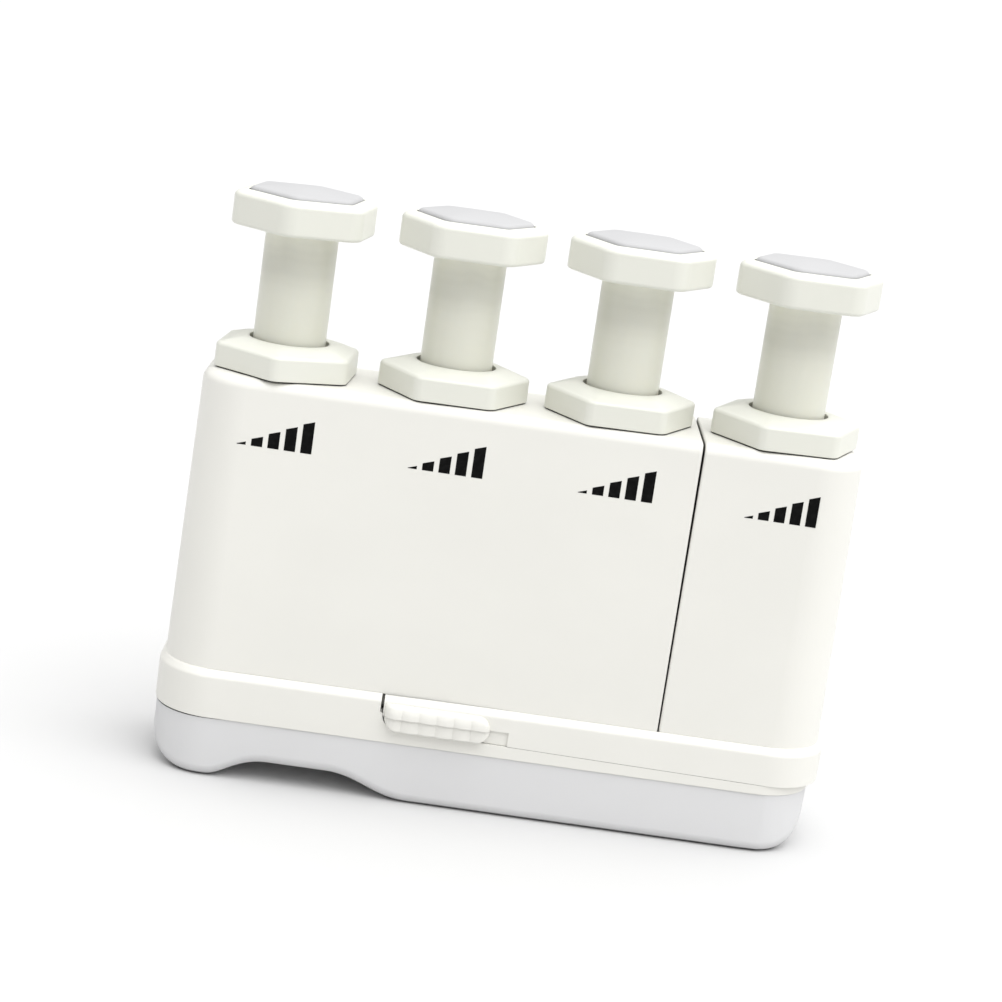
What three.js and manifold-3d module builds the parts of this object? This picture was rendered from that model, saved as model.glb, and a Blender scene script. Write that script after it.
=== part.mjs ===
// Finger exerciser: four spring-loaded finger plungers in a housing that rests in the palm.
// The fourth finger's housing slides out along +X on a tray, so that the tool fits wider hands.
// Units are millimetres. +X runs along the row of fingers, the front faces -Y, +Z is up.
// The origin lies on the resting surface, midway along the row of fingers.

import * as THREE from 'three';
import { mergeVertices } from 'three/addons/utils/BufferGeometryUtils.js';
import Module from 'manifold-3d';

const wasm = await Module();
wasm.setup();

// ---------------------------------------------------------------- driving dimensions

const FINGER_PITCH = 22;
const FINGER_X = [-1.5, -0.5, 0.5, 1.5].map((step) => step * FINGER_PITCH);
const SEAM_X = 22;                  // plane between the main and the end housing
const GAP = 0.3;                    // clearance between neighbouring solids
const WALL = 1.6;

const PALM_TOP = 8.05;              // levels, from the resting surface up
const BASE_FLOOR = 8.35;
const STRIP_TOP = 10;
const SHOULDER = 13.6;
const BEVEL_FOOT = 13.8;
const BAND_TOP = 14.7;
const HOUSING_FOOT = SHOULDER + GAP;
const HOUSING_TOP = 53.3;
const DIAL_FOOT = HOUSING_TOP + GAP;
const DIAL_TOP = 57.5;
const CAP_FOOT = 71.9;
const CAP_TOP = 76.5;
const PAD_TOP = 77.5;

const BAND = { left: -44.6, right: 44.6, half: 11.3, corner: 8 };
const BASE_RIGHT = 43.5;            // the tray overhangs the base by about a millimetre
const PALM = { left: -44.4, right: 43.4, half: 11.1, corner: 7.8, steps: 8 };
const HOUSING = { left: -43.9, right: 43.9, half: 10.35, corner: 7.1 };
const DRAFT = Math.tan(THREE.MathUtils.degToRad(1));
const TOP_EDGE = 1.5;
const TOP_PLATE = 2.2;

const RAIL_INSIDE = 9.3;            // half distance between the tray's two rails
const SKIRT_HALF = 9;
const TRAY_LEFT = -14.05;
const TRAY_GAP = 0.45;              // the dark joint between band and tray
const TRAY_FOOT = STRIP_TOP + GAP;
const TRAY_PLATE = 12.6;
const TRAY_CORNER = 2;

const STEM_R = 4.75;
const STEM_BORE_R = 3.6;
const STEM_FOOT = 48;
const FLANGE_R = 5.75;
const FLANGE_TOP = 50.2;
const SPIGOT_R = 3.2;
const SPIGOT_TOP = 73.7;
const CAP_SIDE = 9.95;
const CAP_VERTEX = 2.7;
const CAP_EDGE = 1.2;
const CAP_TURN = [21.4, 1.9, 1.1, 7.3];        // how each cap happens to stand, degrees
const PAD_SIDE = 7.95;
const PAD_VERTEX = 1.9;
const PAD_SEAT = 75;

const DIAL_SIDE = 10.1;
const DIAL_VERTEX = 1.6;
const DIAL_EDGE = 1;
const DIAL_TURN = [25.6, 2.8, 3.9, 7];
const DIAL_BORE_R = 5.05;
const DIAL_MOUTH_R = 5.5;
const SLEEVE_R = 7.1;
const SLEEVE_BORE_R = 6.05;
const SLEEVE_FOOT = 18;
const DIAL_SHOULDER = 50.5;
const CLIP = { inner: 6.8, outer: 7.9, foot: 49.9, top: 50.8, groove: 6.5, opening: 0.5 };
const SLEEVE_HOLE_R = 7.4;

const SEAT = { r: FLANGE_R, foot: 19, top: 22, hole: 3.6 };
const POST_SIDE = 3;
const POST_TOP = 33;
const SPRING = { coil: 2.75, wire: 0.4, foot: 22.3, top: 69.7, turns: 8 };

const SCREW = { shank: 0.8, pilot: 1.1, head: 1.9, headHeight: 0.9, length: 9 };
const MAIN_SCREWS = [[-22, -5], [-22, 5], [0, -5], [0, 5]];
const END_SCREWS = [[25.3, -6.2], [25.3, 6.2]];
const BOSS_R = 2.3;
const BOSS_TOP = 24;

const TONGUE = { foot: 11.1, top: 12.3, reach: 1.1, left: -13, right: 8 };
const GROOVE = { foot: 10.8, top: 12.6, depth: 1.4, right: 20.3 };
const KNOB = { left: -13.9, right: 0.1, foot: 10.35, top: 13.6, back: -11.6, front: -13 };
const KNOB_RIB = { pitch: 2.35, grooves: 5, half: 0.35, depth: 0.5 };
const KNOB_TRAVEL = 2.4;
const NOTCH_TOP = 11.9;
const NOTCH_DEPTH = 1;
const LOCK_SLOT = { left: -9, right: -1.2, foot: 10.8, top: 11.9 };
const SHOE = { back: -SKIRT_HALF + 0.5, front: -SKIRT_HALF + 1.1 };

const SKIRT_LEFT = -16;
const SKIRT_WALL = 2.6;
const PARTITION = { half: 0.7, tunnel: 4 };    // ribs between fingers, open below for the posts
const TRAY_SCREW_SEAT = TRAY_PLATE - 1.1;      // level that the tray screws' heads pull against

const PALM_WALL = 2.2;
const PALM_CAVITY_FOOT = 4.4;
const ARCH_TOP = 2.7;
const PEG_R = 1.5;
const PEGS = [[-38, 0], [-22, 0], [0, 0], [22, -7], [22, 7], [38, 0]];

const FAR = 60;                     // further out than any face, for cutting solids

const ROUND_STEPS = 20;             // sides of a turned piece
const CORNER_STEPS = 4;             // steps round a plan corner

const WHITE = { color: 0xeeeee8, roughness: 0.45, metalness: 0 };
const GREY = { color: 0xd9d9dc, roughness: 0.6, metalness: 0 };
const MILKY = { color: 0xd6d8d0, roughness: 0.35, metalness: 0 };
const NATURAL = { color: 0xe2e0d6, roughness: 0.5, metalness: 0 };
const RUBBER = { color: 0x3a3a3c, roughness: 0.8, metalness: 0 };
const STEEL = { color: 0x9a9ca0, roughness: 0.3, metalness: 1 };

// ---------------------------------------------------------------- solids

// Turns a closed geometry into a solid, with shared vertices merged and faces pointing out.
function solid(geometry) {
  geometry.deleteAttribute('normal');
  geometry.deleteAttribute('uv');
  const merged = mergeVertices(geometry, 1e-4);
  const vertProperties = new Float32Array(merged.attributes.position.array);
  const corners = [...merged.index.array];
  let triVerts = [];
  for (let k = 0; k < corners.length; k += 3) {
    const [a, b, c] = corners.slice(k, k + 3);
    if (a !== b && b !== c && c !== a) triVerts.push(a, b, c);
  }
  const point = (index) => new THREE.Vector3().fromArray(vertProperties, 3 * index);
  let volume = 0;
  for (let k = 0; k < triVerts.length; k += 3) {
    volume += point(triVerts[k]).dot(point(triVerts[k + 1]).cross(point(triVerts[k + 2])));
  }
  if (volume < 0) triVerts = triVerts.reverse();
  return new wasm.Manifold(new wasm.Mesh({
    numProp: 3, vertProperties, triVerts: new Uint32Array(triVerts),
  }));
}

function box(x0, x1, y0, y1, z0, z1) {
  const shape = new THREE.BoxGeometry(x1 - x0, y1 - y0, z1 - z0);
  return solid(shape.translate((x0 + x1) / 2, (y0 + y1) / 2, (z0 + z1) / 2));
}

// A turned piece: profile is a list of [radius, z] points, lowest first.
function turned(profile, steps = ROUND_STEPS) {
  const points = profile.map(([r, z]) => new THREE.Vector2(r, z));
  return solid(new THREE.LatheGeometry(points, steps).rotateX(Math.PI / 2));
}

function cylinder(r, z0, z1, steps = ROUND_STEPS) {
  return turned([[0, z0], [r, z0], [r, z1], [0, z1]], steps);
}

// A side view in X and Z, given as a Shape, carried through from y0 to y1.
function sidePrism(shape, y0, y1) {
  const geometry = new THREE.ExtrudeGeometry(shape, {
    depth: y1 - y0, bevelEnabled: false, curveSegments: CORNER_STEPS,
  });
  return solid(geometry.rotateX(Math.PI / 2).translate(0, y1, 0));
}

// A closed solid through convex rings that have the same number of points, lowest first.
function loft(rings) {
  const count = rings[0].length;
  const top = (rings.length - 1) * count;
  const index = [];
  for (let k = 0; k < top; k += count) {
    for (let i = 0; i < count; i += 1) {
      const j = (i + 1) % count;
      index.push(k + i, k + j, k + count + j, k + i, k + count + j, k + count + i);
    }
  }
  for (let i = 1; i < count - 1; i += 1) {
    index.push(0, i + 1, i, top, top + i, top + i + 1);
  }
  const geometry = new THREE.BufferGeometry().setFromPoints(rings.flat());
  return solid(geometry.setIndex(index));
}

// A rectangle with rounded corners, seen from above and made smaller by inset. A plan's end
// marked squareLeft or squareRight has plain corners, and an inset doesn't move it.
function planRing(plan, inset, z) {
  const right = plan.squareRight ? plan.right : plan.right - inset;
  const left = plan.squareLeft ? plan.left : plan.left + inset;
  const half = plan.half - inset;
  const corner = plan.corner - inset;
  const steps = plan.steps ?? CORNER_STEPS;
  const ring = [];
  const ends = [
    [right, 1, -1, plan.squareRight], [right, 1, 1, plan.squareRight],
    [left, -1, 1, plan.squareLeft], [left, -1, -1, plan.squareLeft],
  ];
  ends.forEach(([x, sx, sy, square], quarter) => {
    if (square) {
      ring.push(new THREE.Vector3(x, sy * half, z));
      return;
    }
    for (let k = 0; k <= steps; k += 1) {
      const angle = (quarter - 1 + k / steps) * Math.PI / 2;
      ring.push(new THREE.Vector3(
        x - sx * corner + corner * Math.cos(angle),
        sy * (half - corner) + corner * Math.sin(angle),
        z,
      ));
    }
  });
  return ring;
}

function planPrism(plan, inset, z0, z1) {
  return loft([planRing(plan, inset, z0), planRing(plan, inset, z1)]);
}

// A hexagon with rounded vertices; side is also its radius to the sharp vertices.
function hexRing(side, vertex, z, steps = 2) {
  const ring = [];
  const centre = side - vertex / Math.cos(Math.PI / 6);
  for (let corner = 0; corner < 6; corner += 1) {
    const out = corner * Math.PI / 3;
    for (let k = 0; k <= steps; k += 1) {
      const angle = out + (k / steps - 0.5) * Math.PI / 3;
      ring.push(new THREE.Vector3(
        centre * Math.cos(out) + vertex * Math.cos(angle),
        centre * Math.sin(out) + vertex * Math.sin(angle),
        z,
      ));
    }
  }
  return ring;
}

// A hexagonal piece whose top edge is bevelled by the given amount.
function hexPiece(side, vertex, z0, z1, bevel) {
  return loft([
    hexRing(side, vertex, z0),
    hexRing(side, vertex, z1 - bevel),
    hexRing(side - bevel * 1.1547, vertex * 0.85, z1),
  ]);
}

const group = new THREE.Group();

// Puts a solid into the model as a named mesh, at a place, turned about its vertical axis.
function addPiece(name, piece, look, { at = [0, 0, 0], turn = 0 } = {}) {
  const { vertProperties, triVerts } = piece.getMesh();
  const geometry = new THREE.BufferGeometry();
  geometry.setAttribute('position', new THREE.BufferAttribute(new Float32Array(vertProperties), 3));
  geometry.setIndex(new THREE.BufferAttribute(new Uint32Array(triVerts), 1));
  geometry.computeVertexNormals();
  const mesh = new THREE.Mesh(geometry, new THREE.MeshStandardMaterial(look));
  mesh.name = name;
  mesh.position.set(...at);
  mesh.rotation.z = THREE.MathUtils.degToRad(turn);
  group.add(mesh);
}

// ---------------------------------------------------------------- finger parts

// Soft hexagonal pad, glued into the pocket on top of the cap.
function fingerPad() {
  return hexPiece(PAD_SIDE, PAD_VERTEX, PAD_SEAT + GAP, PAD_TOP, 0.8);
}

// Hexagonal cap with a pocket for the pad above and a socket for the stem's spigot below.
function fingerCap() {
  const body = hexPiece(CAP_SIDE, CAP_VERTEX, CAP_FOOT, CAP_TOP, CAP_EDGE);
  const pocket = loft([
    hexRing(PAD_SIDE + GAP, PAD_VERTEX, PAD_SEAT),
    hexRing(PAD_SIDE + GAP, PAD_VERTEX, CAP_TOP + 1),
  ]);
  return body.subtract(pocket).subtract(cylinder(SPIGOT_R + GAP, CAP_FOOT - 1, SPIGOT_TOP + GAP));
}

// Hollow stem: a spigot for the cap, a tube round the spring and a flange that keeps it in.
function fingerStem() {
  return turned([
    [0, SPRING.top + GAP],
    [STEM_BORE_R, SPRING.top + GAP],
    [STEM_BORE_R, STEM_FOOT],
    [FLANGE_R, STEM_FOOT],
    [FLANGE_R, FLANGE_TOP],
    [STEM_R, FLANGE_TOP],
    [STEM_R, CAP_FOOT - GAP],
    [SPIGOT_R, CAP_FOOT - GAP],
    [SPIGOT_R, SPIGOT_TOP],
    [0, SPIGOT_TOP],
  ]);
}

// Tension dial: the hexagonal collar above the housing, on a sleeve that runs down inside it.
function tensionDial() {
  const collar = hexPiece(DIAL_SIDE, DIAL_VERTEX, DIAL_FOOT, DIAL_TOP, DIAL_EDGE);
  const sleeve = turned([
    [0, SLEEVE_FOOT],
    [SLEEVE_R, SLEEVE_FOOT],
    [SLEEVE_R, CLIP.foot - GAP],
    [CLIP.groove, CLIP.foot - GAP],
    [CLIP.groove, CLIP.top + GAP],
    [SLEEVE_R, CLIP.top + GAP],
    [SLEEVE_R, DIAL_FOOT + 1],
    [0, DIAL_FOOT + 1],
  ]);
  const bore = turned([
    [0, SLEEVE_FOOT - 1],
    [SLEEVE_BORE_R, SLEEVE_FOOT - 1],
    [SLEEVE_BORE_R, DIAL_SHOULDER],
    [DIAL_BORE_R, DIAL_SHOULDER],
    [DIAL_BORE_R, DIAL_TOP - 1],
    [DIAL_MOUTH_R, DIAL_TOP - 0.3],
    [DIAL_MOUTH_R, DIAL_TOP + 1],
    [0, DIAL_TOP + 1],
  ]);
  return collar.add(sleeve).subtract(bore);
}

// Open spring clip in the sleeve's groove, which stops the dial from lifting out.
function dialClip() {
  const ring = turned([
    [CLIP.inner, CLIP.foot],
    [CLIP.outer, CLIP.foot],
    [CLIP.outer, CLIP.top],
    [CLIP.inner, CLIP.top],
    [CLIP.inner, CLIP.foot],
  ]);
  const opening = box(0, CLIP.outer + 1, -CLIP.opening, CLIP.opening, CLIP.foot - 1, CLIP.top + 1);
  return ring.subtract(opening);
}

// Nut under the spring. The square hole keeps it from turning, so the dial raises it.
function springSeat() {
  const hole = SEAT.hole / 2;
  return cylinder(SEAT.r, SEAT.foot, SEAT.top)
    .subtract(box(-hole, hole, -hole, hole, SEAT.foot - 1, SEAT.top + 1));
}

// Compression spring: a round wire along a helix.
function fingerSpring() {
  const length = SPRING.top - SPRING.foot - 2 * SPRING.wire;
  const stepsPerTurn = 6;
  const points = [];
  for (let k = 0; k <= SPRING.turns * stepsPerTurn; k += 1) {
    const share = k / (SPRING.turns * stepsPerTurn);
    const angle = share * SPRING.turns * 2 * Math.PI;
    points.push(new THREE.Vector3(
      SPRING.coil * Math.cos(angle),
      SPRING.coil * Math.sin(angle),
      SPRING.foot + SPRING.wire + share * length,
    ));
  }
  const section = new THREE.Shape();
  section.absarc(0, 0, SPRING.wire, 0, 2 * Math.PI);
  return solid(new THREE.ExtrudeGeometry(section, {
    extrudePath: new THREE.CatmullRomCurve3(points), steps: SPRING.turns * stepsPerTurn,
    bevelEnabled: false, curveSegments: 2,
  }));
}

// ---------------------------------------------------------------- housings

// The outside of a housing: drafted walls and a rounded top edge, made smaller by inset.
function housingForm(plan, inset, top) {
  const narrowing = (z) => inset + (z - BAND_TOP) * DRAFT;
  const edge = top - TOP_EDGE;
  const rings = [planRing(plan, narrowing(HOUSING_FOOT), HOUSING_FOOT)];
  for (const angle of [0, Math.PI / 4, Math.PI / 2]) {
    const z = edge + TOP_EDGE * Math.sin(angle);
    rings.push(planRing(plan, narrowing(z) + TOP_EDGE * (1 - Math.cos(angle)), z));
  }
  return loft(rings);
}

// A hollow housing, open below, with a hole in its top for each dial's sleeve.
function housingShell(plan, fingers) {
  const walls = { ...plan };
  if (plan.squareRight) walls.right -= WALL;
  if (plan.squareLeft) walls.left += WALL;
  const below = HOUSING_FOOT - 1;
  const cavity = planPrism(walls, WALL + (HOUSING_TOP - BAND_TOP) * DRAFT, below, HOUSING_TOP - TOP_PLATE);
  let shell = housingForm(plan, 0, HOUSING_TOP).subtract(cavity);
  for (const x of fingers) {
    const hole = cylinder(SLEEVE_HOLE_R, HOUSING_TOP - TOP_PLATE - 1, HOUSING_TOP + 1);
    shell = shell.subtract(hole.translate([x, 0, 0]));
  }
  return shell;
}

// A boss that a screw bites into from below.
function screwBoss([x, y], foot) {
  return cylinder(BOSS_R, foot, BOSS_TOP, 16).translate([x, y, 0]);
}

function screwPilot([x, y], foot) {
  return cylinder(SCREW.pilot, foot - 1, BOSS_TOP - 2, 12).translate([x, y, 0]);
}

// The main housing's foot between the tray's rails, with a groove along each side for them.
function mainSkirt() {
  const right = SEAM_X - GAP / 2;
  const joined = HOUSING_FOOT + 2;
  const outside = box(SKIRT_LEFT, right, -SKIRT_HALF, SKIRT_HALF, TRAY_FOOT, joined);
  const inside = box(
    SKIRT_LEFT - 1, right - WALL,
    -SKIRT_HALF + SKIRT_WALL, SKIRT_HALF - SKIRT_WALL, TRAY_FOOT - 1, joined + 1,
  );
  let skirt = outside.subtract(inside);
  for (const side of [-1, 1]) {
    const edges = [side * (SKIRT_HALF - GROOVE.depth), side * (SKIRT_HALF + 1)].sort((a, b) => a - b);
    skirt = skirt.subtract(box(SKIRT_LEFT - 1, GROOVE.right, ...edges, GROOVE.foot, GROOVE.top));
  }
  return skirt;
}

// Housing of the first three fingers, with partitions that carry the screw bosses.
function mainHousing() {
  const plan = { ...HOUSING, right: SEAM_X - GAP / 2, squareRight: true };
  const reach = HOUSING.half - WALL;
  const tunnel = box(-FAR, FAR, -PARTITION.tunnel, PARTITION.tunnel, 0, BOSS_TOP);
  const partition = (x) => box(
    x - PARTITION.half, x + PARTITION.half, -reach, reach, HOUSING_FOOT, HOUSING_TOP - 1,
  ).subtract(tunnel);
  let housing = housingShell(plan, FINGER_X.slice(0, 3))
    .add(partition(-FINGER_PITCH))
    .add(partition(0))
    .add(mainSkirt());
  const drafted = housingForm(plan, 0, HOUSING_TOP);
  for (const place of MAIN_SCREWS) housing = housing.add(screwBoss(place, TRAY_FOOT));
  for (const place of MAIN_SCREWS) housing = housing.subtract(screwPilot(place, TRAY_FOOT));
  const allowed = drafted.add(box(-FAR, plan.right, -SKIRT_HALF, SKIRT_HALF, 0, BAND_TOP));
  return housing.intersect(allowed);
}

// Housing of the fourth finger, which travels with the tray.
function endHousing() {
  const plan = { ...HOUSING, left: SEAM_X + GAP / 2, squareLeft: true };
  const foot = TRAY_PLATE + GAP;
  let housing = housingShell(plan, FINGER_X.slice(3));
  for (const place of END_SCREWS) housing = housing.add(screwBoss(place, foot));
  for (const place of END_SCREWS) housing = housing.subtract(screwPilot(place, foot));
  const allowed = housingForm(plan, 0, HOUSING_TOP)
    .add(planPrism({ ...BAND, left: plan.left, squareLeft: true }, WALL + 1, foot, HOUSING_FOOT));
  return housing.intersect(allowed);
}

// ---------------------------------------------------------------- base, tray and lock

// The band round the foot: full width up to the shoulder, and a bevelled lip above it.
function bandRing(plan, foot) {
  const lip = BAND.half - HOUSING.half - GAP;
  const outside = loft([
    planRing(plan, 0, foot), planRing(plan, 0, BEVEL_FOOT), planRing(plan, lip, BAND_TOP),
  ]);
  return outside
    .subtract(planPrism(plan, BAND.half - RAIL_INSIDE, foot - 1, SHOULDER + 1))
    .subtract(planPrism(plan, lip, SHOULDER, BAND_TOP + 1));
}

// Everything right of the joint, above the strip; margin widens it to leave the joint open.
function trayRegion(margin) {
  const left = TRAY_LEFT - margin;
  const foot = TRAY_FOOT - Math.min(margin, GAP);
  const corner = TRAY_CORNER + margin;
  const shape = new THREE.Shape();
  shape.moveTo(left, FAR);
  shape.lineTo(left, foot + corner);
  shape.absarc(left + corner, foot + corner, corner, Math.PI, 1.5 * Math.PI, false);
  shape.lineTo(FAR, foot);
  shape.lineTo(FAR, FAR);
  shape.closePath();
  return sidePrism(shape, -FAR, FAR);
}

function post(foot, x) {
  const half = POST_SIDE / 2;
  return box(x - half, x + half, -half, half, foot, POST_TOP);
}

// White chassis: floor, fixed left part of the band, and a post under each of three fingers.
function baseFrame() {
  const plan = { ...BAND, right: BASE_RIGHT };
  const floor = planPrism(plan, 0, BASE_FLOOR, STRIP_TOP);
  let frame = bandRing(plan, BASE_FLOOR).subtract(trayRegion(TRAY_GAP)).add(floor);
  for (const x of FINGER_X.slice(0, 3)) frame = frame.add(post(STRIP_TOP - 0.5, x));
  for (const [x, y] of MAIN_SCREWS) {
    frame = frame.subtract(cylinder(SCREW.pilot, 0, 20, 12).translate([x, y, 0]));
  }
  for (const [x, y] of PEGS) {
    frame = frame.subtract(cylinder(PEG_R + GAP, 0, 20, 12).translate([x, y, 0]));
  }
  return frame;
}

// Sliding tray: two grooved rails, a floor under the fourth finger, and its part of the band.
function extensionTray() {
  const plateLeft = SEAM_X + GAP / 2;
  const plate = planPrism({ ...BAND, left: plateLeft, squareLeft: true }, 1, TRAY_FOOT, TRAY_PLATE);
  let tray = bandRing(BAND, TRAY_FOOT).intersect(trayRegion(0)).add(plate);
  const tongueEnds = { '-1': KNOB.right + KNOB_TRAVEL + 1, 1: TONGUE.left };
  for (const side of [-1, 1]) {
    const edges = [side * (RAIL_INSIDE - TONGUE.reach), side * (RAIL_INSIDE + 0.5)].sort((a, b) => a - b);
    tray = tray.add(box(tongueEnds[side], TONGUE.right, ...edges, TONGUE.foot, TONGUE.top));
  }
  tray = tray.add(post(TRAY_PLATE - 0.5, FINGER_X[3]));
  for (const [x, y] of END_SCREWS) {
    const head = cylinder(SCREW.head + GAP, 0, TRAY_SCREW_SEAT, 12);
    tray = tray.subtract(cylinder(SCREW.pilot, 0, 20, 12).add(head).translate([x, y, 0]));
  }
  const recess = box(
    KNOB.left - 1, KNOB.right + KNOB_TRAVEL + 0.1,
    -BAND.half - 1, -BAND.half + NOTCH_DEPTH, TRAY_FOOT - 1, NOTCH_TOP,
  );
  const slot = box(
    LOCK_SLOT.left, LOCK_SLOT.right + KNOB_TRAVEL, -BAND.half - 1, -SKIRT_HALF + 1,
    LOCK_SLOT.foot, LOCK_SLOT.top,
  );
  return tray.subtract(recess).subtract(slot);
}

// Ribbed thumb piece of the slide lock, with a shank that reaches through the rail.
function lockKnob() {
  const shape = new THREE.Shape();
  const low = TRAY_CORNER;
  const round = (KNOB.top - KNOB.foot) / 2;
  shape.moveTo(KNOB.left, KNOB.top);
  shape.lineTo(KNOB.left, KNOB.foot + low);
  shape.absarc(KNOB.left + low, KNOB.foot + low, low, Math.PI, 1.5 * Math.PI, false);
  shape.lineTo(KNOB.right - round, KNOB.foot);
  shape.absarc(KNOB.right - round, KNOB.foot + round, round, -Math.PI / 2, Math.PI / 2, false);
  shape.closePath();
  let knob = sidePrism(shape, KNOB.front, KNOB.back);
  const middle = (KNOB.left + KNOB.right) / 2;
  for (let k = 0; k < KNOB_RIB.grooves; k += 1) {
    const x = middle + (k - (KNOB_RIB.grooves - 1) / 2) * KNOB_RIB.pitch;
    knob = knob.subtract(box(
      x - KNOB_RIB.half, x + KNOB_RIB.half, -FAR, KNOB.front + KNOB_RIB.depth, 0, FAR,
    ));
  }
  const tongue = box(
    KNOB.left + low, KNOB.right - 1,
    KNOB.back - 0.3, -BAND.half + NOTCH_DEPTH - GAP, KNOB.foot, NOTCH_TOP - GAP,
  );
  const shank = box(
    LOCK_SLOT.left + GAP, LOCK_SLOT.right - GAP,
    KNOB.back - 0.3, -SKIRT_HALF + 0.2, LOCK_SLOT.foot + GAP, LOCK_SLOT.top - GAP,
  );
  return knob.add(tongue).add(shank);
}

// Friction shoe on the knob's shank. It drags in the groove of the main housing's skirt.
function lockShoe() {
  return box(
    LOCK_SLOT.left, LOCK_SLOT.right, SHOE.back, SHOE.front, GROOVE.foot + GAP, GROOVE.top - GAP,
  );
}

// ---------------------------------------------------------------- palm rest

// Grey grip that lies in the palm: a foot at the left, a shallow arch, then a long flat belly.
function palmRest() {
  const shape = new THREE.Shape();
  shape.moveTo(PALM.left, PALM_TOP);
  shape.lineTo(PALM.left, 4);
  shape.quadraticCurveTo(PALM.left + 0.4, 1, PALM.left + 4.2, 0);
  shape.lineTo(-36.2, 0);
  shape.bezierCurveTo(-34.5, 0.2, -32, ARCH_TOP - 0.3, -29, ARCH_TOP);
  shape.lineTo(-20, ARCH_TOP);
  shape.bezierCurveTo(-16, ARCH_TOP - 0.3, -13.5, 0.2, -9.8, 0);
  shape.lineTo(PALM.right - 4.2, 0);
  shape.quadraticCurveTo(PALM.right - 0.5, 1, PALM.right - 0.3, 4);
  shape.lineTo(PALM.right, PALM_TOP);
  shape.closePath();
  let rest = sidePrism(shape, -FAR, FAR).intersect(planPrism(PALM, 0, -1, PALM_TOP));
  rest = rest.subtract(planPrism(PALM, PALM_WALL, PALM_CAVITY_FOOT, PALM_TOP + 1));
  for (const [x, y] of PEGS) {
    rest = rest.add(cylinder(PEG_R, PALM_CAVITY_FOOT - 0.5, STRIP_TOP - 0.2, 12).translate([x, y, 0]));
  }
  return rest;
}

// ---------------------------------------------------------------- screws

// Pan-head screw, driven upwards; top is the level of its head's upper face.
function panScrew(top) {
  return turned([
    [0, top - SCREW.headHeight],
    [SCREW.head, top - SCREW.headHeight],
    [SCREW.head, top],
    [SCREW.shank, top],
    [SCREW.shank, top + SCREW.length],
    [0, top + SCREW.length],
  ], 12);
}

// ---------------------------------------------------------------- assembly

addPiece('palm_rest', palmRest(), GREY);
addPiece('base_frame', baseFrame(), WHITE);
addPiece('main_housing', mainHousing(), WHITE);
addPiece('extension_tray', extensionTray(), WHITE);
addPiece('end_housing', endHousing(), WHITE);
addPiece('lock_knob', lockKnob(), WHITE);
addPiece('lock_shoe', lockShoe(), RUBBER);

MAIN_SCREWS.forEach(([x, y], k) => {
  addPiece(`housing_screw_${k + 1}`, panScrew(BASE_FLOOR - GAP), STEEL, { at: [x, y, 0] });
});
END_SCREWS.forEach(([x, y], k) => {
  addPiece(`tray_screw_${k + 1}`, panScrew(TRAY_SCREW_SEAT - GAP), STEEL, { at: [x, y, 0] });
});

FINGER_X.forEach((x, k) => {
  const finger = k + 1;
  const at = [x, 0, 0];
  addPiece(`finger_pad_${finger}`, fingerPad(), GREY, { at, turn: CAP_TURN[k] });
  addPiece(`finger_cap_${finger}`, fingerCap(), WHITE, { at, turn: CAP_TURN[k] });
  addPiece(`finger_stem_${finger}`, fingerStem(), MILKY, { at });
  addPiece(`tension_dial_${finger}`, tensionDial(), WHITE, { at, turn: DIAL_TURN[k] });
  addPiece(`dial_clip_${finger}`, dialClip(), STEEL, { at });
  addPiece(`spring_seat_${finger}`, springSeat(), NATURAL, { at });
  addPiece(`finger_spring_${finger}`, fingerSpring(), STEEL, { at });
});

export default group;
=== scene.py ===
"""Finger exerciser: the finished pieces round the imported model.

Shapes are worked out in millimetres, in the model's own frame (+X along the row of fingers, the front
faces -Y, +Z up), and become metres when an object is made. Fits that the frame gives are read from it.
"""

import math

import bmesh
import bpy
from mathutils import Matrix, Vector


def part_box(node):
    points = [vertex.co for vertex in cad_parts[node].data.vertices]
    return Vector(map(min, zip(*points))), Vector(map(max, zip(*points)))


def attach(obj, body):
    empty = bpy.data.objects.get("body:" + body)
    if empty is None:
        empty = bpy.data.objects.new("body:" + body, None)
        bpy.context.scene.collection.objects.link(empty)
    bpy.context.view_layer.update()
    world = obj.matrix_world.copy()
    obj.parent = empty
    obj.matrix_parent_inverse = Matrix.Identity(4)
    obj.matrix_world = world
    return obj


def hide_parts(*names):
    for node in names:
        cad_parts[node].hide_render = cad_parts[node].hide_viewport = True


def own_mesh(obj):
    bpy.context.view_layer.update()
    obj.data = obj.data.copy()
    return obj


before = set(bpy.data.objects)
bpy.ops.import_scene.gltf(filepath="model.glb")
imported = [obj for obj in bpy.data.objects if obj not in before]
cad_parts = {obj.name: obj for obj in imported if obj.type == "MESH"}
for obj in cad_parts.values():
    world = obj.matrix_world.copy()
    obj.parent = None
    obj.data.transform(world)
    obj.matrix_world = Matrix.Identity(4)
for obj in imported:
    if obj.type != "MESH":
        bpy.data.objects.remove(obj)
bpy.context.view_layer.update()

MM = 0.001
NOISE_LOW, NOISE_HIGH = 0.2, 0.8        # where most of a noise pattern's values lie


def levels(node):
    """The lowest and highest corners of a CAD node, in millimetres."""
    low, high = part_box(node)
    return [c / MM for c in low], [c / MM for c in high]


# ---------------------------------------------------------------- sizes

FINGERS = (1, 2, 3, 4)
FINGER_BODY = {1: "base", 2: "base", 3: "base", 4: "extension"}


def finger_x(finger):
    """Where a finger's axis stands along the row."""
    low, high = levels(f"finger_stem_{finger}")
    return (low[0] + high[0]) / 2


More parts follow.
